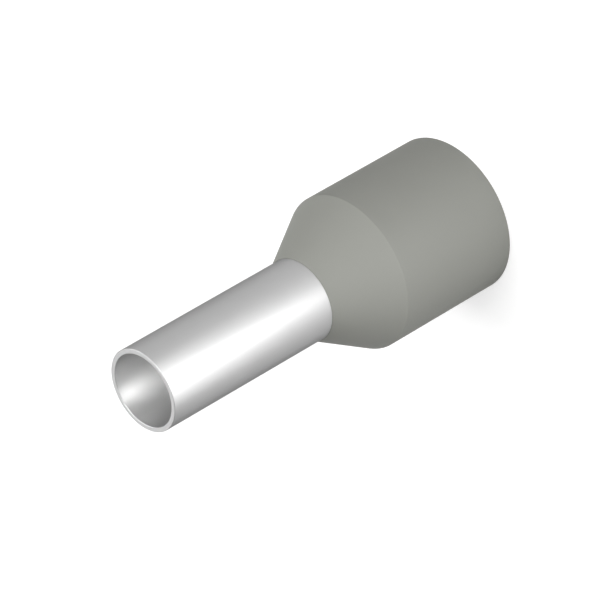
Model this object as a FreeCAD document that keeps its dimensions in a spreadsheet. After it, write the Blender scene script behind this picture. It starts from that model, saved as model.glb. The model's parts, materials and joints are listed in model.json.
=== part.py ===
"""Insulated wire end ferrule for a 2.5 mm2 stranded conductor, in millimetres.

A thin drawn tube of tinned copper is held in the neck of a moulded bell-shaped collar.
Inside the collar the tube opens into a flare that lies in a seat of the moulding, so the
funnel that guides the strands runs on without a step from plastic to metal.

The ferrule stands on the entry rim of its collar with the tube pointing up: Z is the
common axis, and the origin is the centre of the entry rim.
"""
import FreeCAD, Part
import Sketcher

import math
import os

# Driving dimensions: alias, value, meaning. Lengths are in millimetres, slopes in degrees.
SIZES = (
    ("overall_length", 12.0, "tip of the tube to the entry rim of the collar"),
    ("tube_reach", 6.0, "bare tube in front of the collar"),
    ("tube_bore", 2.2, "inside diameter of the tube"),
    ("tube_wall", 0.15, "wall of the tube"),
    ("tip_round", 0.02, "radius on both cut edges of the tip"),
    ("flare_mouth", 3.6, "outside diameter of the flared end"),
    ("flare_slope", 30.0, "angle of the flare to the axis"),
    ("flare_bend", 0.3, "radius of the bend on the outside of the tube"),
    ("neck_grip", 0.6, "length of tube that the neck grips before the flare's corner"),
    ("seat_gap", 0.005, "clearance all over between the tube and its seat"),
    ("rim_gap", 0.05, "clearance from the flare's cut rim to the end of its seat"),
    ("barrel_bore", 4.2, "inside diameter of the barrel, for the wire's insulation"),
    ("barrel_wall", 0.25, "wall of the barrel"),
    ("nose_slope", 30.0, "angle of the collar's nose to the axis"),
    ("shoulder_round", 0.06, "radius where the nose meets the barrel"),
    ("rim_round", 0.02, "radius round the outside of the entry rim"),
    ("rim_lead", 0.08, "bevel round the inside of the entry rim"),
)

# Formulas in those sizes. Radii are from the axis and heights are above the entry rim.
TUBE_RADIUS = "(Sizes.tube_bore / 2 + Sizes.tube_wall)"
NECK_RADIUS = f"({TUBE_RADIUS} + Sizes.seat_gap)"
BARREL_RADIUS = "(Sizes.barrel_bore / 2 + Sizes.barrel_wall)"
FLARE_ANGLE = "(Sizes.flare_slope * 1 deg)"
NOSE_ANGLE = "(Sizes.nose_slope * 1 deg)"
NOSE_HEIGHT = "(Sizes.overall_length - Sizes.tube_reach)"
SHOULDER_HEIGHT = f"({NOSE_HEIGHT} - ({BARREL_RADIUS} - {NECK_RADIUS}) / tan({NOSE_ANGLE}))"
CORNER_HEIGHT = f"({NOSE_HEIGHT} - Sizes.neck_grip)"
BEND_HEIGHT = f"({CORNER_HEIGHT} + Sizes.flare_bend * tan({FLARE_ANGLE} / 2))"
STEP_RADIUS = (
    f"(Sizes.flare_mouth / 2 + Sizes.rim_gap * sin({FLARE_ANGLE})"
    f" + Sizes.seat_gap * cos({FLARE_ANGLE}))"
)
# The cutter that hollows the collar runs out past both ends of it by one barrel radius.
CUT_BOTTOM = f"(-{BARREL_RADIUS})"
CUT_TOP = f"({NOSE_HEIGHT} + {NECK_RADIUS} / tan({NOSE_ANGLE}) + {BARREL_RADIUS})"

# Where a sketch constraint takes hold of an edge, and of the sketch's own origin.
START, END, CENTRE = range(1, 4)
ORIGIN = (-1, START)

# Two circles match when their radii and heights agree to this.
SAME = 1e-6


def make_sheet(doc):
    """The sheet of driving dimensions, one alias to a row."""
    sheet = doc.addObject("Spreadsheet::Sheet", "Sizes")
    for row, (alias, value, meaning) in enumerate(SIZES, start=1):
        sheet.set(f"A{row}", alias)
        sheet.set(f"B{row}", str(value))
        sheet.setAlias(f"B{row}", alias)
        sheet.set(f"C{row}", meaning)
    doc.recompute()
    return sheet


def origin_plane(body, role):
    """One of the body's own origin planes or axes, by its role."""
    for feature in body.Origin.OriginFeatures:
        if feature.Role == role:
            return feature
    raise ValueError(f"{body.Label} has no {role}")


class Section:
    """A half section in the body's XZ plane: radius across, height up."""

    def __init__(self, body, name):
        self.sheet = body.Document.getObject("Sizes")
        self.sketch = body.newObject("Sketcher::SketchObject", name)
        self.sketch.AttachmentSupport = (origin_plane(body, "XZ_Plane"), [""])
        self.sketch.MapMode = "FlatFace"

    def value(self, formula):
        """A formula's number, in millimetres or degrees."""
        result = self.sheet.evalExpression(formula)
        return float(getattr(result, "Value", result))

    def line(self, start, end):
        """A straight edge between two (radius, height) points."""
        edge = Part.LineSegment(FreeCAD.Vector(*start, 0), FreeCAD.Vector(*end, 0))
        return self.sketch.addGeometry(edge)

    def bend(self, centre, radius, turn):
        """An arc that leaves the axis direction at its start and has turned outwards at its end."""
        circle = Part.Circle(FreeCAD.Vector(*centre, 0), FreeCAD.Vector(0, 0, 1), radius)
        arc = Part.ArcOfCircle(circle, math.pi, math.pi + math.radians(turn))
        return self.sketch.addGeometry(arc)

    def rule(self, kind, *where):
        """A geometric constraint, such as Vertical or Tangent."""
        self.sketch.addConstraint(Sketcher.Constraint(kind, *where))

    def size(self, name, kind, where, formula):
        """A dimension that follows a formula in the sheet's sizes."""
        number = self.value(formula)
        if kind == "Angle":
            number = math.radians(number)
        index = self.sketch.addConstraint(Sketcher.Constraint(kind, *where, number))
        self.sketch.renameConstraint(index, name)
        self.sketch.setExpression(f"Constraints.{name}", formula)

    def close(self, *edges):
        """Joins each edge's end to the next edge's start, and the last to the first."""
        for edge, following in zip(edges, edges[1:] + edges[:1]):
            self.rule("Coincident", edge, END, following, START)


def turn_about_axis(body, kind, section, name):
    """Turns a section right round the Z axis, as added (Revolution) or cut (Groove) material."""
    feature = body.newObject(f"PartDesign::{kind}", name)
    feature.Profile = section.sketch
    feature.ReferenceAxis = (section.sketch, ["V_Axis"])
    feature.Angle = 360
    body.Document.recompute()
    return feature


def round_edges(feature, radii, height):
    """Names of the feature's circular edges of these radii at this height."""
    names = []
    for number, edge in enumerate(feature.Shape.Edges, start=1):
        curve = edge.Curve
        if not isinstance(curve, Part.Circle):
            continue
        at_height = abs(curve.Center.z - height) < SAME
        if at_height and any(abs(curve.Radius - radius) < SAME for radius in radii):
            names.append(f"Edge{number}")
    return names


def break_edges(body, kind, base, radii, height, size, name):
    """Rounds or bevels the base's circular edges, by the size that the named cell gives."""
    feature = body.newObject(f"PartDesign::{kind}", name)
    feature.Base = (base, round_edges(base, radii, height))
    feature.setExpression("Radius" if kind == "Fillet" else "Size", f"Sizes.{size}")
    body.Document.recompute()
    return feature


def tube_section(body):
    """The tube's wall from the tip down to the cut rim of the flare."""
    section = Section(body, "tube_section")
    value = section.value
    bore = value("Sizes.tube_bore / 2")
    outside = value(TUBE_RADIUS)
    wall = outside - bore
    tip = value("Sizes.overall_length")
    bend_height = value(BEND_HEIGHT)
    bend = value("Sizes.flare_bend")
    mouth = value("Sizes.flare_mouth / 2")
    slope = value(FLARE_ANGLE)
    along = (math.sin(math.radians(slope)), -math.cos(math.radians(slope)))
    centre = (outside + bend, bend_height)

    def on_bend(radius):
        return (centre[0] + along[1] * radius, centre[1] - along[0] * radius)

    outer_end = on_bend(bend)
    inner_end = on_bend(bend + wall)
    mouth_height = outer_end[1] + (mouth - outer_end[0]) / along[0] * along[1]
    rim_outer = (mouth, mouth_height)
    rim_inner = (mouth + along[1] * wall, mouth_height - along[0] * wall)

    outer_wall = section.line((outside, tip), (outside, bend_height))
    outer_bend = section.bend(centre, bend, slope)
    flare_outside = section.line(outer_end, rim_outer)
    flare_rim = section.line(rim_outer, rim_inner)
    flare_inside = section.line(rim_inner, inner_end)
    inner_bend = section.bend(centre, bend + wall, slope)
    inner_wall = section.line((bore, bend_height), (bore, tip))
    tip_face = section.line((bore, tip), (outside, tip))

    section.rule("Tangent", outer_wall, END, outer_bend, START)
    section.rule("Tangent", outer_bend, END, flare_outside, START)
    section.rule("Coincident", flare_outside, END, flare_rim, START)
    section.rule("Coincident", flare_rim, END, flare_inside, START)
    section.rule("Tangent", flare_inside, END, inner_bend, END)
    section.rule("Tangent", inner_bend, START, inner_wall, START)
    section.rule("Coincident", inner_wall, END, tip_face, START)
    section.rule("Coincident", tip_face, END, outer_wall, START)
    section.rule("Coincident", outer_bend, CENTRE, inner_bend, CENTRE)
    section.rule("Vertical", outer_wall)
    section.rule("Vertical", inner_wall)
    section.rule("Horizontal", tip_face)
    section.rule("Parallel", flare_outside, flare_inside)
    section.rule("Perpendicular", flare_outside, flare_rim)

    section.size("bore_radius", "DistanceX", (*ORIGIN, inner_wall, END), "Sizes.tube_bore / 2")
    section.size("wall", "DistanceX", (tip_face, START, tip_face, END), "Sizes.tube_wall")
    section.size("tip_height", "DistanceY", (*ORIGIN, tip_face, START), "Sizes.overall_length")
    section.size("bend_height", "DistanceY", (*ORIGIN, outer_wall, END), BEND_HEIGHT)
    section.size("bend_radius", "Radius", (outer_bend,), "Sizes.flare_bend")
    section.size("slope", "Angle", (flare_outside,), f"{FLARE_ANGLE} - 90 deg")
    section.size("mouth_radius", "DistanceX", (*ORIGIN, flare_rim, START), "Sizes.flare_mouth / 2")
    return section


def make_metal_sleeve(doc):
    """The tinned copper tube: its wall turned round the axis, with the tip's cut edges eased."""
    body = doc.addObject("PartDesign::Body", "metal_sleeve")
    section = tube_section(body)
    tube = turn_about_axis(body, "Revolution", section, "tube")
    radii = (section.value("Sizes.tube_bore / 2"), section.value(TUBE_RADIUS))
    tip = section.value("Sizes.overall_length")
    break_edges(body, "Fillet", tube, radii, tip, "tip_round", "eased_tip")
    return body


def bell_section(body):
    """Half outline of the collar while it is solid: barrel, then a nose that runs to a point."""
    section = Section(body, "bell_section")
    radius = section.value(BARREL_RADIUS)
    shoulder = section.value(SHOULDER_HEIGHT)
    nose_angle = section.value(NOSE_ANGLE)
    point = shoulder + radius / math.tan(math.radians(nose_angle))

    entry = section.line((0, 0), (radius, 0))
    barrel = section.line((radius, 0), (radius, shoulder))
    nose = section.line((radius, shoulder), (0, point))
    axis = section.line((0, point), (0, 0))
    section.close(entry, barrel, nose, axis)
    section.rule("Coincident", entry, START, *ORIGIN)
    section.rule("Horizontal", entry)
    section.rule("Vertical", barrel)
    section.rule("Vertical", axis)

    section.size("barrel_radius", "DistanceX", (entry, START, entry, END), BARREL_RADIUS)
    section.size("shoulder_height", "DistanceY", (barrel, START, barrel, END), SHOULDER_HEIGHT)
    section.size("nose_slope", "Angle", (nose,), f"{NOSE_ANGLE} + 90 deg")
    return section


def wire_way_section(body):
    """Half outline of the hollow: barrel bore, funnel, recess for the flare, and neck bore."""
    section = Section(body, "wire_way_section")
    value = section.value
    bottom = value(CUT_BOTTOM)
    top = value(CUT_TOP)
    barrel = value("Sizes.barrel_bore / 2")
    neck = value(NECK_RADIUS)
    bend = value("Sizes.flare_bend - Sizes.seat_gap")
    bend_height = value(BEND_HEIGHT)
    recess = value("Sizes.tube_wall + Sizes.seat_gap")
    slope = value(FLARE_ANGLE)
    along = (math.sin(math.radians(slope)), -math.cos(math.radians(slope)))
    centre = (neck + bend, bend_height)
    seat_end = (centre[0] + along[1] * bend, centre[1] - along[0] * bend)
    step_radius = value(STEP_RADIUS)
    step_height = seat_end[1] + (step_radius - seat_end[0]) / along[0] * along[1]
    step_outer = (step_radius, step_height)
    step_inner = (step_radius + along[1] * recess, step_height - along[0] * recess)
    funnel_height = step_inner[1] + (barrel - step_inner[0]) / along[0] * along[1]

    base = section.line((0, bottom), (barrel, bottom))
    barrel_bore = section.line((barrel, bottom), (barrel, funnel_height))
    funnel = section.line((barrel, funnel_height), step_inner)
    step = section.line(step_inner, step_outer)
    flare_seat = section.line(step_outer, seat_end)
    seat_bend = section.bend(centre, bend, slope)
    neck_bore = section.line((neck, bend_height), (neck, top))
    lid = section.line((neck, top), (0, top))
    axis = section.line((0, top), (0, bottom))

    section.rule("Coincident", base, END, barrel_bore, START)
    section.rule("Coincident", barrel_bore, END, funnel, START)
    section.rule("Coincident", funnel, END, step, START)
    section.rule("Coincident", step, END, flare_seat, START)
    section.rule("Tangent", flare_seat, END, seat_bend, END)
    section.rule("Tangent", seat_bend, START, neck_bore, START)
    section.rule("Coincident", neck_bore, END, lid, START)
    section.rule("Coincident", lid, END, axis, START)
    section.rule("Coincident", axis, END, base, START)
    section.rule("Vertical", *ORIGIN, base, START)
    section.rule("Horizontal", base)
    section.rule("Vertical", barrel_bore)
    section.rule("Vertical", neck_bore)
    section.rule("Horizontal", lid)
    section.rule("Vertical", axis)
    section.rule("Parallel", funnel, flare_seat)
    section.rule("Perpendicular", step, flare_seat)

    section.size("base_height", "DistanceY", (*ORIGIN, base, END), CUT_BOTTOM)
    section.size("lid_height", "DistanceY", (*ORIGIN, lid, START), CUT_TOP)
    section.size("barrel_radius", "DistanceX", (*ORIGIN, barrel_bore, START), "Sizes.barrel_bore / 2")
    section.size("neck_radius", "DistanceX", (*ORIGIN, neck_bore, END), NECK_RADIUS)
    section.size("bend_height", "DistanceY", (*ORIGIN, neck_bore, START), BEND_HEIGHT)
    section.size("bend_radius", "Radius", (seat_bend,), "Sizes.flare_bend - Sizes.seat_gap")
    section.size("slope", "Angle", (flare_seat,), f"{FLARE_ANGLE} + 90 deg")
    section.size("recess_depth", "Distance", (step,), "Sizes.tube_wall + Sizes.seat_gap")
    section.size("step_radius", "DistanceX", (*ORIGIN, step, END), STEP_RADIUS)
    return section


def make_insulating_collar(doc):
    """The moulded collar: a solid bell, hollowed by the wire way, with its outer edges eased."""
    body = doc.addObject("PartDesign::Body", "insulating_collar")
    bell = turn_about_axis(body, "Revolution", bell_section(body), "bell")
    section = wire_way_section(body)
    outside = (section.value(BARREL_RADIUS),)
    inside = (section.value("Sizes.barrel_bore / 2"),)
    hollow = turn_about_axis(body, "Groove", section, "wire_way")
    if math.isclose(hollow.Shape.Volume, bell.Shape.Volume):
        raise RuntimeError("the wire way has cut nothing out of the bell")
    shoulder = section.value(SHOULDER_HEIGHT)
    eased = break_edges(body, "Fillet", hollow, outside, shoulder, "shoulder_round", "eased_shoulder")
    eased = break_edges(body, "Fillet", eased, outside, 0, "rim_round", "eased_rim")
    break_edges(body, "Chamfer", eased, inside, 0, "rim_lead", "lead_in")
    return body


def check(doc, bodies):
    """Stops the build where a feature has failed or a piece isn't one sound solid."""
    for feature in doc.Objects:
        if "Invalid" in feature.State or "Error" in feature.State:
            raise RuntimeError(f"{feature.Label} has failed: {feature.State}")
        if feature.isDerivedFrom("Sketcher::SketchObject") and not feature.FullyConstrained:
            raise RuntimeError(f"{feature.Label} isn't fully constrained")
    for body in bodies:
        shape = body.Shape
        if shape.isNull() or not shape.isValid() or len(shape.Solids) != 1:
            raise RuntimeError(f"{body.Label} isn't one valid solid")


def main():
    doc = FreeCAD.newDocument("wire_ferrule")
    make_sheet(doc)
    bodies = [make_metal_sleeve(doc), make_insulating_collar(doc)]
    doc.recompute()
    check(doc, bodies)
    os.makedirs("parts", exist_ok=True)
    for body in bodies:
        body.Shape.exportStep(f"parts/{body.Label}.step")
        box = body.Shape.BoundBox
        print(f"{body.Label}: {body.Shape.Volume:.4f} mm3, height {box.ZMin:.3f} to {box.ZMax:.3f}")


main()
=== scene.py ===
"""The looks of an insulated wire end ferrule: a tin-plated sleeve in a moulded grey collar.

Both pieces are turned shapes about Z. Geometry Nodes draw each one's half section from its
sizes, round the corners and turn it about the axis. The ferrule stands on the entry rim of
its collar, in metres, and the camera looks down at it from the side.
"""

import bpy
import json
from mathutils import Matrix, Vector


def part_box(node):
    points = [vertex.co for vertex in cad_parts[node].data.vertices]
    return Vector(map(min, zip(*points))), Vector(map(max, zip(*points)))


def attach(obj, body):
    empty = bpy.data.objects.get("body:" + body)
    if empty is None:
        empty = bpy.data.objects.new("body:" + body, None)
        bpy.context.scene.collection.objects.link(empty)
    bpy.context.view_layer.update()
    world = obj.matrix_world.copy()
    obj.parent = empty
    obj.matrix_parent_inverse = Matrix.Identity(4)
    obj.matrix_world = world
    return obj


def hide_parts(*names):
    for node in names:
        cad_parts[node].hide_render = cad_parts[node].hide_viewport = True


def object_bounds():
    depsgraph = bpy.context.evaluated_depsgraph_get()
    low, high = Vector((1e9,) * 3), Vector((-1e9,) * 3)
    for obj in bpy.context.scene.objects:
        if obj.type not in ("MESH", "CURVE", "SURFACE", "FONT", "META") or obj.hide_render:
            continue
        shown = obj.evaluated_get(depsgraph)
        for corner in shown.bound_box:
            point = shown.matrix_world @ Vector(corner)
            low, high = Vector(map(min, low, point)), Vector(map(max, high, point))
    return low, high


bl_info = {
    "name": "Wire Ferrule Looks",
    "version": (1, 0, 0),
    "blender": (4, 5, 0),
    "location": "View3D > Sidebar > Ferrule",
    "description": "Builds an insulated wire ferrule's sleeve and collar, and a pale stage",
    "category": "Object",
}

import json
import math
from typing import NamedTuple

import bpy
from bpy.props import FloatProperty, FloatVectorProperty, IntProperty, PointerProperty
from mathutils import Matrix, Vector

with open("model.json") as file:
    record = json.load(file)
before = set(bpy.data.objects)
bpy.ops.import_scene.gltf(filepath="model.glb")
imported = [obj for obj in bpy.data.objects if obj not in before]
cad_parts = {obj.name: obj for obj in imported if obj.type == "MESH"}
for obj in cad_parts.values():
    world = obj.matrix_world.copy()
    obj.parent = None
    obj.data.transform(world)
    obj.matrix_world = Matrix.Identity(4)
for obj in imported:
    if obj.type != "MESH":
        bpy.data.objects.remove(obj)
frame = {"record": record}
CAD_BOX = [list(corner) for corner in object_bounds()]

MM = 0.001
BODY = "root"
SLEEVE = "metal_sleeve"
COLLAR = "insulating_collar"

# What the frame states: each piece's box, and the sizes of the mounts.
SLEEVE_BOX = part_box(SLEEVE)
COLLAR_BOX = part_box(COLLAR)
MOUNT_SIZES = {mount["name"]: mount["dims"] for mount in frame["record"]["mounts"]}
SLEEVE_RADIUS = MOUNT_SIZES["sleeve"]["r_mm"] * MM
BORE_RADIUS = MOUNT_SIZES["wire_bore"]["r_mm"] * MM
SOCKET_RADIUS = MOUNT_SIZES["insulation_socket"]["r_mm"] * MM

# The photograph is the usual isometric view, turned until the tube points down to the left.
CAMERA_ELEVATION = math.atan(math.sqrt(0.5))
CAMERA_ROLL = math.radians(-120)
CAMERA_DISTANCE = 139.5 * MM
CAMERA_NEAR_LIMIT = 10 * MM
# The camera takes its lens and its sensor in plain millimetres.
CAMERA_LENS = 302.35
CAMERA_SENSOR = 36.0

# An edge that turns by more than this shows as an edge. A rounded one turns in this many steps.
CREASE = math.radians(25)
ROUNDING_STEPS = 10

# The least and the greatest angle between a cone and the axis that a section can be drawn with.
LEAST_SLOPE = math.radians(1)
GREATEST_SLOPE = math.radians(80)

# The floor is plain white from this many times the distance at which it starts to fade.
FADE_END = 2

POLYPROPYLENE_IOR = 1.49
# How many times the relief and the drift in tone are broken up more finely.
NOISE_DETAIL = 2.0
WHITE = (1.0, 1.0, 1.0)

# How the nodes of a tree are laid out.
NODES_IN_COLUMN = 4
NODE_SPACING = 220


class Skin(NamedTuple):
    """The fine relief of a finish, and how far its tone and its roughness vary."""

    grain: float
    length_along_axis: float
    drift: float
    bump_strength: float
    bump_depth: float
    tone_reach: float
    roughness_reach: float


TIN_SKIN = Skin(
    grain=0.03 * MM,
    length_along_axis=1.5 * MM,
    drift=1.2 * MM,
    bump_strength=0.4,
    bump_depth=0.0004 * MM,
    tone_reach=0.03,
    roughness_reach=0.05,
)
PLASTIC_SKIN = Skin(
    grain=0.05 * MM,
    length_along_axis=0.05 * MM,
    drift=1.6 * MM,
    bump_strength=0.3,
    bump_depth=0.002 * MM,
    tone_reach=0.02,
    roughness_reach=0.06,
)


class Lamp(NamedTuple):
    """A soft rectangular lamp: where it stands, what it looks at, its size and its power."""

    name: str
    azimuth: float
    elevation: float
    distance: float
    target_height: float
    width: float
    height: float
    power: float


def far_lamp(name, azimuth, elevation, power):
    """A square lamp well away from the ferrule, for its outside, with its angles in degrees."""
    return Lamp(
        name=name,
        azimuth=math.radians(azimuth),
        elevation=math.radians(elevation),
        distance=150 * MM,
        target_height=6 * MM,
        width=60 * MM,
        height=60 * MM,
        power=power,
    )


def band_lamp(name, azimuth, power):
    """A wide lamp low over the floor, for the bright band along the tube. Azimuth in degrees."""
    return Lamp(
        name=name,
        azimuth=math.radians(azimuth),
        elevation=math.radians(-12),
        distance=30 * MM,
        target_height=8.7 * MM,
        width=16 * MM,
        height=6 * MM,
        power=power,
    )


def streak_lamp(name, target_height, power):
    """A tiny lamp at the near wall of the bore, for the bright streak on the wall opposite."""
    return Lamp(
        name=name,
        azimuth=math.radians(-20),
        elevation=math.radians(-30),
        distance=1.15 * MM,
        target_height=target_height,
        width=0.9 * MM,
        height=0.6 * MM,
        power=power,
    )


LAMPS = (
    far_lamp("high_lamp", azimuth=40, elevation=75, power=0.155),
    far_lamp("side_lamp", azimuth=112, elevation=45, power=0.077),
    far_lamp("back_lamp", azimuth=180, elevation=45, power=0.0165),
    far_lamp("rear_lamp", azimuth=198, elevation=8, power=0.052),
    band_lamp("low_lamp", azimuth=-16, power=0.0043),
    band_lamp("low_right_lamp", azimuth=-50, power=0.001),
    band_lamp("low_left_lamp", azimuth=20, power=0.0008),
    Lamp(
        name="bore_lamp",
        azimuth=0.0,
        elevation=math.radians(-90),
        distance=8.7 * MM,
        target_height=9 * MM,
        width=2.8 * MM,
        height=2.8 * MM,
        power=0.0005,
    ),
    streak_lamp("streak_lamp", target_height=11.4 * MM, power=0.0000121),
    streak_lamp("deep_streak_lamp", target_height=10.3 * MM, power=0.0000021),
)


class SleeveSettings(bpy.types.PropertyGroup):
    """Sizes and finish of the tin-plated sleeve."""

    bore: FloatProperty(
        name="Bore Radius",
        description="Inside radius of the tube",
        default=BORE_RADIUS,
        min=0.0,
        subtype="DISTANCE",
        unit="LENGTH",
    )
    wall: FloatProperty(
        name="Wall",
        description="Thickness of the drawn metal",
        default=SLEEVE_RADIUS - BORE_RADIUS,
        min=0.0,
        subtype="DISTANCE",
        unit="LENGTH",
    )
    tip_height: FloatProperty(
        name="Tip Height",
        description="Height of the tube's open tip above the floor",
        default=SLEEVE_BOX[1].z,
        subtype="DISTANCE",
        unit="LENGTH",
    )
    tip_round: FloatProperty(
        name="Tip Rounding",
        description="Radius on both cut edges of the tip",
        default=0.02 * MM,
        min=0.0,
        subtype="DISTANCE",
        unit="LENGTH",
    )
    flare_mouth: FloatProperty(
        name="Flare Mouth",
        description="Outside radius of the flared end",
        default=SLEEVE_BOX[1].x,
        min=0.0,
        subtype="DISTANCE",
        unit="LENGTH",
    )
    flare_slope: FloatProperty(
        name="Flare Slope",
        description="Angle between the flare and the axis",
        default=math.radians(30),
        min=LEAST_SLOPE,
        max=GREATEST_SLOPE,
        subtype="ANGLE",
        unit="ROTATION",
    )
    flare_bend: FloatProperty(
        name="Flare Bend",
        description="Radius of the bend on the outside of the tube",
        default=0.3 * MM,
        min=0.0,
        subtype="DISTANCE",
        unit="LENGTH",
    )
    neck_grip: FloatProperty(
        name="Neck Grip",
        description="Length of tube that the collar's neck grips before the flare",
        default=0.6 * MM,
        min=0.0,
        subtype="DISTANCE",
        unit="LENGTH",
    )
    colour: FloatVectorProperty(
        name="Tin Colour",
        description="Colour of the tin plating",
        default=(0.71, 0.71, 0.71),
        min=0.0,
        max=1.0,
        subtype="COLOR",
    )
    edge_colour: FloatVectorProperty(
        name="Tin Edge Colour",
        description="Tint of the plating where it is seen almost edge on",
        default=(0.15, 0.15, 0.15),
        min=0.0,
        max=1.0,
        subtype="COLOR",
    )
    roughness: FloatProperty(
        name="Tin Roughness",
        description="Roughness of the plating, from a mirror at 0 to chalk at 1",
        default=0.45,
        min=0.0,
        max=1.0,
        subtype="FACTOR",
    )


class CollarSettings(bpy.types.PropertyGroup):
    """Sizes and finish of the moulded collar."""

    barrel: FloatProperty(
        name="Barrel Radius",
        description="Outside radius of the barrel",
        default=COLLAR_BOX[1].x,
        min=0.0,
        subtype="DISTANCE",
        unit="LENGTH",
    )
    socket: FloatProperty(
        name="Socket Radius",
        description="Inside radius of the barrel, for the wire's insulation",
        default=SOCKET_RADIUS,
        min=0.0,
        subtype="DISTANCE",
        unit="LENGTH",
    )
    nose_height: FloatProperty(
        name="Nose Height",
        description="Height at which the tube comes out of the nose",
        default=COLLAR_BOX[1].z,
        subtype="DISTANCE",
        unit="LENGTH",
    )
    nose_slope: FloatProperty(
        name="Nose Slope",
        description="Angle between the conical nose and the axis",
        default=math.radians(30),
        min=LEAST_SLOPE,
        max=GREATEST_SLOPE,
        subtype="ANGLE",
        unit="ROTATION",
    )
    seat_gap: FloatProperty(
        name="Seat Gap",
        description="Clearance all over between the tube and its seat",
        default=0.005 * MM,
        min=0.0,
        subtype="DISTANCE",
        unit="LENGTH",
    )
    rim_gap: FloatProperty(
        name="Flare Rim Gap",
        description="Clearance from the flare's cut rim to the end of its seat",
        default=0.05 * MM,
        min=0.0,
        subtype="DISTANCE",
        unit="LENGTH",
    )
    shoulder_round: FloatProperty(
        name="Shoulder Rounding",
        description="Radius where the nose meets the barrel",
        default=0.06 * MM,
        min=0.0,
        subtype="DISTANCE",
        unit="LENGTH",
    )
    rim_round: FloatProperty(
        name="Rim Rounding",
        description="Radius round the outside of the entry rim",
        default=0.02 * MM,
        min=0.0,
        subtype="DISTANCE",
        unit="LENGTH",
    )
    rim_bevel: FloatProperty(
        name="Rim Bevel",
        description="Bevel round the inside of the entry rim",
        default=0.08 * MM,
        min=0.0,
        subtype="DISTANCE",
        unit="LENGTH",
    )
    colour: FloatVectorProperty(
        name="Plastic Colour",
        description="Colour of the moulded polypropylene",
        default=(0.29, 0.294, 0.269),
        min=0.0,
        max=1.0,
        subtype="COLOR",
    )
    roughness: FloatProperty(
        name="Plastic Roughness",
        description="Roughness of the moulded skin",
        default=0.6,
        min=0.0,
        max=1.0,
        subtype="FACTOR",
    )


class StageSettings(bpy.types.PropertyGroup):
    """Floor, light and mesh fineness."""

    segments: IntProperty(
        name="Segments",
        description="Steps in one turn about the axis, for both pieces",
        default=256,
        min=16,
        max=512,
    )
    floor_colour: FloatVectorProperty(
        name="Floor Colour",
        description="Colour of the pale floor",
        default=(0.5, 0.5, 0.5),
        min=0.0,
        max=1.0,
        subtype="COLOR",
    )
    white_level: FloatProperty(
        name="White Level",
        description="Glow that brings the floor behind the ferrule up to white",
        default=0.64,
        min=0.0,
    )
    white_start: FloatProperty(
        name="White Start",
        description="Distance from the ferrule at which the floor starts to fade to plain white",
        default=15 * MM,
        min=0.0,
        subtype="DISTANCE",
        unit="LENGTH",
    )
    mirrored_level: FloatProperty(
        name="Mirrored Level",
        description="Glow of the floor and the world that polished surfaces mirror",
        default=0.115,
        min=0.0,
    )
    sky_level: FloatProperty(
        name="Sky Level",
        description="Brightness of the even light from all round",
        default=0.09,
        min=0.0,
    )
    lamp_level: FloatProperty(
        name="Lamp Level",
        description="Share of their full power that all the lamps give",
        default=1.0,
        min=0.0,
        subtype="FACTOR",
    )
    floor_size: FloatProperty(
        name="Floor Size",
        description="Length of each side of the floor",
        default=2.0,
        min=0.0,
        subtype="DISTANCE",
        unit="LENGTH",
    )


class Measure:
    """An output in a node tree. Arithmetic on it adds Math nodes, so a size reads as a formula."""

    def __init__(self, tree, socket):
        self.tree = tree
        self.socket = socket

    def math(self, operation, *others):
        terms = dict(enumerate((self, *others)))
        node = add_node(self.tree, "ShaderNodeMath", terms, operation=operation)
        return Measure(self.tree, node.outputs[0])

    def __add__(self, other):
        return self.math("ADD", other)

    def __sub__(self, other):
        return self.math("SUBTRACT", other)

    def __mul__(self, other):
        return self.math("MULTIPLY", other)

    def __truediv__(self, other):
        return self.math("DIVIDE", other)

    def __rtruediv__(self, other):
        node = add_node(self.tree, "ShaderNodeMath", {0: other, 1: self}, operation="DIVIDE")
        return Measure(self.tree, node.outputs[0])

    def sin(self):
        return self.math("SINE")

    def cos(self):
        return self.math("COSINE")

    def tan(self):
        return self.math("TANGENT")


def feed(tree, socket, value):
    """Gives an input its value: a link to a measure or an output, or a plain setting."""
    if isinstance(value, Measure):
        value = value.socket
    if isinstance(value, bpy.types.NodeSocket):
        tree.links.new(value, socket)
    else:
        socket.default_value = value


def add_node(tree, kind, feeds=None, **settings):
    """A new node, set up and fed, in the next free place of a grid."""
    column, row = divmod(len(tree.nodes), NODES_IN_COLUMN)
    node = tree.nodes.new(kind)
    node.location = (column * NODE_SPACING, -row * NODE_SPACING)
    for name, setting in settings.items():
        setattr(node, name, setting)
    for socket, value in (feeds or {}).items():
        feed(tree, node.inputs[socket], value)
    return node


def new_tree(name, kind, inputs, outputs):
    """A node tree with named inputs and outputs, its inputs as measures, and its output node."""
    tree = bpy.data.node_groups.new(name, kind)
    for label, socket_type in inputs:
        tree.interface.new_socket(label, in_out="INPUT", socket_type=socket_type)
    for label, socket_type in outputs:
        tree.interface.new_socket(label, in_out="OUTPUT", socket_type=socket_type)
    entry = add_node(tree, "NodeGroupInput")
    given = {label: Measure(tree, entry.outputs[label]) for label, _ in inputs}
    return tree, given, add_node(tree, "NodeGroupOutput")


def pick_by_index(tree, data_type, choices):
    """The choice whose place in the list is the point's own index."""
    index = add_node(tree, "GeometryNodeInputIndex").outputs["Index"]
    switch = add_node(tree, "GeometryNodeIndexSwitch", {"Index": index}, data_type=data_type)
    while len(switch.index_switch_items) < len(choices):
        switch.index_switch_items.new()
    for place, choice in enumerate(choices):
        feed(tree, switch.inputs[str(place)], choice)
    return switch.outputs["Output"]


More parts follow.
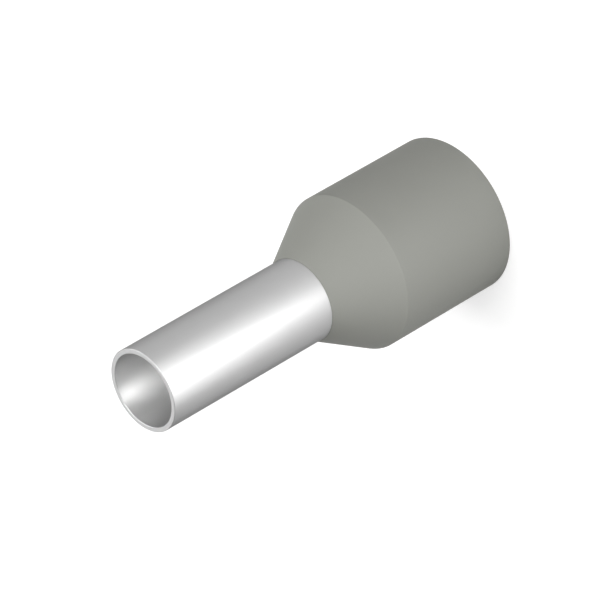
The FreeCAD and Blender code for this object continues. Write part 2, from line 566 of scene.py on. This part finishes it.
def turning_group():
    """Shared group: a half section, given by its corners, is turned right round the Z axis.

    The section's X is the distance outwards from a circle that it is swept along, and its Y
    is the distance down from that circle.
    """
    name = "turned_section"
    if name in bpy.data.node_groups:
        return bpy.data.node_groups[name]
    inputs = [
        ("Corners", "NodeSocketGeometry"),
        ("Rounding", "NodeSocketFloat"),
        ("Circle Radius", "NodeSocketFloat"),
        ("Segments", "NodeSocketInt"),
    ]
    outputs = [("Turned", "NodeSocketGeometry")]
    tree, given, result = new_tree(name, "GeometryNodeTree", inputs, outputs)
    rounded = add_node(
        tree,
        "GeometryNodeFilletCurve",
        {
            "Curve": given["Corners"],
            "Radius": given["Rounding"],
            "Count": ROUNDING_STEPS,
            "Limit Radius": True,
        },
        mode="POLY",
    )
    circle = add_node(
        tree,
        "GeometryNodeCurvePrimitiveCircle",
        {"Resolution": given["Segments"], "Radius": given["Circle Radius"]},
    )
    upright = add_node(
        tree, "GeometryNodeSetCurveNormal", {"Curve": circle.outputs["Curve"]}, mode="Z_UP"
    )
    swept = add_node(
        tree,
        "GeometryNodeCurveToMesh",
        {"Curve": upright.outputs["Curve"], "Profile Curve": rounded.outputs["Curve"]},
    )
    feed(tree, result.inputs["Turned"], swept.outputs["Mesh"])
    return tree


def finish_piece_tree(tree, given, result, corners):
    """Turns the corners, each (radius, height, rounding), into a piece with its material."""
    circle_radius = corners[0][0]
    places = []
    for radius, height, _ in corners:
        feeds = {"X": radius - circle_radius, "Y": height * -1}
        place = add_node(tree, "ShaderNodeCombineXYZ", feeds)
        places.append(place.outputs["Vector"])
    loop = add_node(tree, "GeometryNodeCurvePrimitiveCircle", {"Resolution": len(corners)})
    placed = add_node(
        tree,
        "GeometryNodeSetPosition",
        {"Geometry": loop.outputs["Curve"], "Position": pick_by_index(tree, "VECTOR", places)},
    )
    roundings = [rounding for _, _, rounding in corners]
    turned = add_node(tree, "GeometryNodeGroup", node_tree=turning_group())
    feed(tree, turned.inputs["Corners"], placed.outputs["Geometry"])
    feed(tree, turned.inputs["Rounding"], pick_by_index(tree, "FLOAT", roundings))
    feed(tree, turned.inputs["Circle Radius"], circle_radius)
    feed(tree, turned.inputs["Segments"], given["Segments"])
    real = add_node(
        tree, "GeometryNodeRealizeInstances", {"Geometry": turned.outputs["Turned"]}
    )
    finished = add_node(
        tree,
        "GeometryNodeSetMaterial",
        {"Geometry": real.outputs["Geometry"], "Material": given["Material"]},
    )
    feed(tree, result.inputs["Piece"], finished.outputs["Geometry"])
    return tree


def piece_inputs(*sizes):
    """Inputs of a piece's tree: its sizes, then what every turned piece has."""
    lengths = [(label, "NodeSocketFloat") for label in sizes]
    return [*lengths, ("Segments", "NodeSocketInt"), ("Material", "NodeSocketMaterial")]


def sleeve_tree():
    """The tube's wall, from its tip down to the cut rim of the flare."""
    inputs = piece_inputs(
        "Bore Radius",
        "Wall",
        "Tip Height",
        "Tip Rounding",
        "Flare Corner Height",
        "Flare Bend",
        "Flare Slope",
        "Flare Mouth",
    )
    outputs = [("Piece", "NodeSocketGeometry")]
    tree, given, result = new_tree("sleeve", "GeometryNodeTree", inputs, outputs)
    bore = given["Bore Radius"]
    wall = given["Wall"]
    tip = given["Tip Height"]
    tip_round = given["Tip Rounding"]
    corner = given["Flare Corner Height"]
    bend = given["Flare Bend"]
    slope = given["Flare Slope"]
    mouth = given["Flare Mouth"]
    outside = bore + wall
    inner_corner = corner - wall * (slope / 2).tan()
    rim_height = corner - (mouth - outside) / slope.tan()
    corners = [
        (outside, tip, tip_round),
        (outside, corner, bend),
        (mouth, rim_height, 0.0),
        (mouth - wall * slope.cos(), rim_height - wall * slope.sin(), 0.0),
        (bore, inner_corner, bend + wall),
        (bore, tip, tip_round),
    ]
    return finish_piece_tree(tree, given, result, corners)


def collar_tree():
    """The collar's wall: barrel and nose outside, then neck, flare seat, funnel and socket."""
    inputs = piece_inputs(
        "Barrel Radius",
        "Socket Radius",
        "Nose Height",
        "Nose Slope",
        "Neck Radius",
        "Seat Corner Height",
        "Seat Bend",
        "Seat Slope",
        "Seat End Radius",
        "Seat Depth",
        "Shoulder Rounding",
        "Rim Rounding",
        "Rim Bevel",
    )
    outputs = [("Piece", "NodeSocketGeometry")]
    tree, given, result = new_tree("collar", "GeometryNodeTree", inputs, outputs)
    barrel = given["Barrel Radius"]
    socket = given["Socket Radius"]
    nose = given["Nose Height"]
    neck = given["Neck Radius"]
    corner = given["Seat Corner Height"]
    slope = given["Seat Slope"]
    seat_end = given["Seat End Radius"]
    depth = given["Seat Depth"]
    bevel = given["Rim Bevel"]
    shoulder = nose - (barrel - neck) / given["Nose Slope"].tan()
    seat_end_height = corner - (seat_end - neck) / slope.tan()
    step_radius = seat_end - depth * slope.cos()
    step_height = seat_end_height - depth * slope.sin()
    funnel_end = step_height - (socket - step_radius) / slope.tan()
    corners = [
        (barrel, 0.0, given["Rim Rounding"]),
        (socket + bevel, 0.0, 0.0),
        (socket, bevel, 0.0),
        (socket, funnel_end, 0.0),
        (step_radius, step_height, 0.0),
        (seat_end, seat_end_height, 0.0),
        (neck, corner, given["Seat Bend"]),
        (neck, nose, 0.0),
        (barrel, shoulder, given["Shoulder Rounding"]),
    ]
    return finish_piece_tree(tree, given, result, corners)


def grow_piece(name, tree, sizes):
    """Runs a tree once, its inputs set by name, and keeps the result as a plain mesh."""
    piece = bpy.data.objects.new(name, bpy.data.meshes.new("start"))
    bpy.context.scene.collection.objects.link(piece)
    modifier = piece.modifiers.new("turned", "NODES")
    modifier.node_group = tree
    for item in tree.interface.items_tree:
        if item.in_out == "INPUT":
            modifier[item.identifier] = sizes[item.name]
    evaluated = piece.evaluated_get(bpy.context.evaluated_depsgraph_get())
    mesh = bpy.data.meshes.new_from_object(evaluated)
    piece.modifiers.remove(modifier)
    start = piece.data
    piece.data = mesh
    bpy.data.meshes.remove(start)
    mesh.name = name
    mesh.shade_smooth()
    mesh.set_sharp_from_angle(angle=CREASE)
    return piece


def hand_over(piece, node):
    """Puts a dressed piece in its node's place, on the one body of the part."""
    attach(piece, BODY)
    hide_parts(node)


def skin_group():
    """Shared shader group: the fine relief and the slow drift in tone of a made surface."""
    name = "surface_skin"
    if name in bpy.data.node_groups:
        return bpy.data.node_groups[name]
    inputs = [
        ("Grain", "NodeSocketFloat"),
        ("Length Along Axis", "NodeSocketFloat"),
        ("Drift", "NodeSocketFloat"),
    ]
    outputs = [("Height", "NodeSocketFloat"), ("Tone", "NodeSocketFloat")]
    tree, given, result = new_tree(name, "ShaderNodeTree", inputs, outputs)
    place = add_node(tree, "ShaderNodeTexCoord").outputs["Object"]
    across = 1.0 / given["Grain"]
    along = 1.0 / given["Length Along Axis"]
    density = add_node(tree, "ShaderNodeCombineXYZ", {"X": across, "Y": across, "Z": along})
    grid = add_node(
        tree,
        "ShaderNodeVectorMath",
        {0: place, 1: density.outputs["Vector"]},
        operation="MULTIPLY",
    )
    relief = add_node(
        tree,
        "ShaderNodeTexNoise",
        {"Vector": grid.outputs["Vector"], "Scale": 1.0, "Detail": NOISE_DETAIL},
    )
    drift = add_node(
        tree,
        "ShaderNodeTexNoise",
        {"Vector": place, "Scale": 1.0 / given["Drift"], "Detail": NOISE_DETAIL},
    )
    feed(tree, result.inputs["Height"], relief.outputs["Fac"])
    feed(tree, result.inputs["Tone"], drift.outputs["Fac"])
    return tree


def new_material(name):
    """A material with an empty tree, its surface shader and its output."""
    material = bpy.data.materials.new(name)
    material.use_nodes = True
    tree = material.node_tree
    tree.nodes.clear()
    shader = add_node(tree, "ShaderNodeBsdfPrincipled")
    add_node(tree, "ShaderNodeOutputMaterial", {"Surface": shader.outputs["BSDF"]})
    return material, tree, shader


def between(tree, factor, low, high):
    """A number that goes from low to high as the factor goes from 0 to 1."""
    node = add_node(tree, "ShaderNodeMapRange", {"Value": factor, "To Min": low, "To Max": high})
    return Measure(tree, node.outputs["Result"])


def toned(tree, factor, colour, reach):
    """The colour, times a grey that goes from 1 - reach to 1 + reach with the factor."""
    tone = between(tree, factor, 1.0 - reach, 1.0 + reach)
    grey = add_node(tree, "ShaderNodeCombineColor", {"Red": tone, "Green": tone, "Blue": tone})
    product = add_node(
        tree,
        "ShaderNodeMix",
        {"Factor": 1.0, "A": (*colour, 1.0), "B": grey.outputs["Color"]},
        data_type="RGBA",
        blend_type="MULTIPLY",
    )
    return product.outputs["Result"]


def skinned_material(name, settings, skin):
    """A material whose colour, roughness and relief follow the skin and the settings."""
    material, tree, shader = new_material(name)
    surface = add_node(tree, "ShaderNodeGroup", node_tree=skin_group())
    feed(tree, surface.inputs["Grain"], skin.grain)
    feed(tree, surface.inputs["Length Along Axis"], skin.length_along_axis)
    feed(tree, surface.inputs["Drift"], skin.drift)
    height = surface.outputs["Height"]
    colour = toned(tree, surface.outputs["Tone"], settings.colour, skin.tone_reach)
    smoothest = settings.roughness - skin.roughness_reach
    roughest = settings.roughness + skin.roughness_reach
    bump = add_node(
        tree,
        "ShaderNodeBump",
        {"Strength": skin.bump_strength, "Distance": skin.bump_depth, "Height": height},
    )
    feed(tree, shader.inputs["Base Color"], colour)
    feed(tree, shader.inputs["Roughness"], between(tree, height, smoothest, roughest))
    feed(tree, shader.inputs["Normal"], bump.outputs["Normal"])
    return material, tree, shader


def tin_material(settings):
    """Satin tin plating with the faint lines that drawing leaves along the tube."""
    material, tree, shader = skinned_material("tin_plate", settings, TIN_SKIN)
    feed(tree, shader.inputs["Metallic"], 1.0)
    feed(tree, shader.inputs["Specular Tint"], (*settings.edge_colour, 1.0))
    return material


def plastic_material(settings):
    """Grey polypropylene with the fine even grain of its mould."""
    material, tree, shader = skinned_material("moulded_grey", settings, PLASTIC_SKIN)
    feed(tree, shader.inputs["IOR"], POLYPROPYLENE_IOR)
    return material


def ray_kinds(tree):
    """Whether a ray comes from the camera or through glass, and whether off a polished face."""
    path = add_node(tree, "ShaderNodeLightPath")
    seen = Measure(tree, path.outputs["Is Camera Ray"])
    through = Measure(tree, path.outputs["Is Transmission Ray"])
    return seen + through, Measure(tree, path.outputs["Is Glossy Ray"])


def floor_material(settings):
    """Pale floor that keeps the shadow beside the ferrule and fades to plain white farther out."""
    material, tree, shader = new_material("pale_floor")
    seen, mirrored = ray_kinds(tree)
    spot = add_node(tree, "ShaderNodeTexCoord")
    distance = add_node(
        tree, "ShaderNodeVectorMath", {0: spot.outputs["Object"]}, operation="LENGTH"
    )
    white = add_node(
        tree,
        "ShaderNodeMapRange",
        {
            "Value": distance.outputs["Value"],
            "From Min": settings.white_start,
            "From Max": settings.white_start * FADE_END,
            "To Min": settings.white_level,
            "To Max": 1.0,
        },
    )
    glow = seen * white.outputs["Result"] + mirrored * settings.mirrored_level
    feed(tree, shader.inputs["Base Color"], (*settings.floor_colour, 1.0))
    feed(tree, shader.inputs["Roughness"], 1.0)
    feed(tree, shader.inputs["Specular IOR Level"], 0.0)
    feed(tree, shader.inputs["Emission Color"], (*WHITE, 1.0))
    feed(tree, shader.inputs["Emission Strength"], glow)
    return material


def pale_world(settings):
    """Even light from all round, plain white where it is looked at."""
    world = bpy.data.worlds.new("pale_sky")
    world.use_nodes = True
    tree = world.node_tree
    tree.nodes.clear()
    seen, mirrored = ray_kinds(tree)
    white = seen * (1.0 - settings.sky_level)
    level = white + mirrored * settings.mirrored_level + settings.sky_level
    feeds = {"Color": (*WHITE, 1.0), "Strength": level}
    background = add_node(tree, "ShaderNodeBackground", feeds)
    add_node(tree, "ShaderNodeOutputWorld", {"Surface": background.outputs["Background"]})
    return world


def direction(azimuth, elevation):
    """From the object towards a place round it: azimuth 0 is on the camera's side."""
    level = math.cos(elevation)
    return Vector(
        (math.sin(azimuth) * level, -math.cos(azimuth) * level, math.sin(elevation))
    )


def facing(place, target):
    """Pose of a camera or lamp that stands at a place and looks at a target."""
    turn = (target - place).to_track_quat("-Z", "Y")
    return Matrix.Translation(place) @ turn.to_matrix().to_4x4()


def hang_lamp(lamp, level):
    """A soft rectangular lamp that looks at the ferrule's axis, unseen by the camera."""
    light = bpy.data.lights.new(lamp.name, "AREA")
    light.shape = "RECTANGLE"
    light.size = lamp.width
    light.size_y = lamp.height
    light.energy = lamp.power * level
    target = Vector((0, 0, lamp.target_height))
    place = target + direction(lamp.azimuth, lamp.elevation) * lamp.distance
    stand = bpy.data.objects.new(lamp.name, light)
    stand.matrix_world = facing(place, target)
    stand.visible_camera = False
    bpy.context.scene.collection.objects.link(stand)


def lay_floor(settings):
    """The square floor that the ferrule stands on."""
    half = settings.floor_size / 2
    corners = [(-half, -half, 0), (half, -half, 0), (half, half, 0), (-half, half, 0)]
    mesh = bpy.data.meshes.new("floor")
    mesh.from_pydata(corners, [], [(0, 1, 2, 3)])
    mesh.materials.append(floor_material(settings))
    floor = bpy.data.objects.new("floor", mesh)
    bpy.context.scene.collection.objects.link(floor)


def set_camera():
    """The camera, which looks at the middle of the part from the photograph's side."""
    lowest, highest = (Vector(corner) for corner in CAD_BOX)
    target = (lowest + highest) / 2
    camera = bpy.data.objects.new("camera", bpy.data.cameras.new("camera"))
    camera.data.sensor_width = CAMERA_SENSOR
    camera.data.lens = CAMERA_LENS
    camera.data.clip_start = CAMERA_NEAR_LIMIT
    pose = facing(target + direction(0, CAMERA_ELEVATION) * CAMERA_DISTANCE, target)
    camera.matrix_world = pose @ Matrix.Rotation(CAMERA_ROLL, 4, "Z")
    bpy.context.scene.collection.objects.link(camera)
    bpy.context.scene.camera = camera


class FERRULE_OT_sleeve(bpy.types.Operator):
    """Builds the tin-plated sleeve from its sizes"""

    bl_idname = "ferrule.sleeve"
    bl_label = "Build Sleeve"

    def execute(self, context):
        settings = context.scene.ferrule_sleeve
        collar = context.scene.ferrule_collar
        tree = sleeve_tree()
        sizes = {
            "Bore Radius": settings.bore,
            "Wall": settings.wall,
            "Tip Height": settings.tip_height,
            "Tip Rounding": settings.tip_round,
            "Flare Corner Height": collar.nose_height - settings.neck_grip,
            "Flare Bend": settings.flare_bend,
            "Flare Slope": settings.flare_slope,
            "Flare Mouth": settings.flare_mouth,
            "Segments": context.scene.ferrule_stage.segments,
            "Material": tin_material(settings),
        }
        hand_over(grow_piece("tin_sleeve", tree, sizes), SLEEVE)
        return {"FINISHED"}


class FERRULE_OT_collar(bpy.types.Operator):
    """Builds the moulded collar from its sizes and the sleeve's"""

    bl_idname = "ferrule.collar"
    bl_label = "Build Collar"

    def execute(self, context):
        settings = context.scene.ferrule_collar
        sleeve = context.scene.ferrule_sleeve
        gap = settings.seat_gap
        slope = sleeve.flare_slope
        corner = settings.nose_height - sleeve.neck_grip
        seat_reach = settings.rim_gap * math.sin(slope) + gap * math.cos(slope)
        tree = collar_tree()
        sizes = {
            "Barrel Radius": settings.barrel,
            "Socket Radius": settings.socket,
            "Nose Height": settings.nose_height,
            "Nose Slope": settings.nose_slope,
            "Neck Radius": sleeve.bore + sleeve.wall + gap,
            "Seat Corner Height": corner + gap * math.tan(slope / 2),
            "Seat Bend": sleeve.flare_bend - gap,
            "Seat Slope": slope,
            "Seat End Radius": sleeve.flare_mouth + seat_reach,
            "Seat Depth": sleeve.wall + gap,
            "Shoulder Rounding": settings.shoulder_round,
            "Rim Rounding": settings.rim_round,
            "Rim Bevel": settings.rim_bevel,
            "Segments": context.scene.ferrule_stage.segments,
            "Material": plastic_material(settings),
        }
        hand_over(grow_piece("moulded_collar", tree, sizes), COLLAR)
        return {"FINISHED"}


class FERRULE_OT_stage(bpy.types.Operator):
    """Lays the pale floor, hangs the lamps and sets up the camera"""

    bl_idname = "ferrule.stage"
    bl_label = "Set Stage"

    def execute(self, context):
        settings = context.scene.ferrule_stage
        lay_floor(settings)
        context.scene.world = pale_world(settings)
        for lamp in LAMPS:
            hang_lamp(lamp, settings.lamp_level)
        set_camera()
        context.scene.view_settings.view_transform = "Standard"
        return {"FINISHED"}


class FERRULE_PT_panel(bpy.types.Panel):
    """The ferrule's sizes, colours and build steps"""

    bl_label = "Wire Ferrule"
    bl_idname = "FERRULE_PT_panel"
    bl_space_type = "VIEW_3D"
    bl_region_type = "UI"
    bl_category = "Ferrule"

    def draw(self, context):
        groups = (
            (context.scene.ferrule_sleeve, "ferrule.sleeve"),
            (context.scene.ferrule_collar, "ferrule.collar"),
            (context.scene.ferrule_stage, "ferrule.stage"),
        )
        for settings, operator in groups:
            box = self.layout.box()
            for name in settings.__annotations__:
                box.prop(settings, name)
            box.operator(operator)


CLASSES = (
    SleeveSettings,
    CollarSettings,
    StageSettings,
    FERRULE_OT_sleeve,
    FERRULE_OT_collar,
    FERRULE_OT_stage,
    FERRULE_PT_panel,
)


def register():
    for cls in CLASSES:
        bpy.utils.register_class(cls)
    bpy.types.Scene.ferrule_sleeve = PointerProperty(type=SleeveSettings)
    bpy.types.Scene.ferrule_collar = PointerProperty(type=CollarSettings)
    bpy.types.Scene.ferrule_stage = PointerProperty(type=StageSettings)


def unregister():
    del bpy.types.Scene.ferrule_stage
    del bpy.types.Scene.ferrule_collar
    del bpy.types.Scene.ferrule_sleeve
    for cls in reversed(CLASSES):
        bpy.utils.unregister_class(cls)


def main():
    """Builds both pieces and the stage."""
    register()
    bpy.ops.ferrule.sleeve()
    bpy.ops.ferrule.collar()
    bpy.ops.ferrule.stage()


if __name__ == "__main__":
    main()
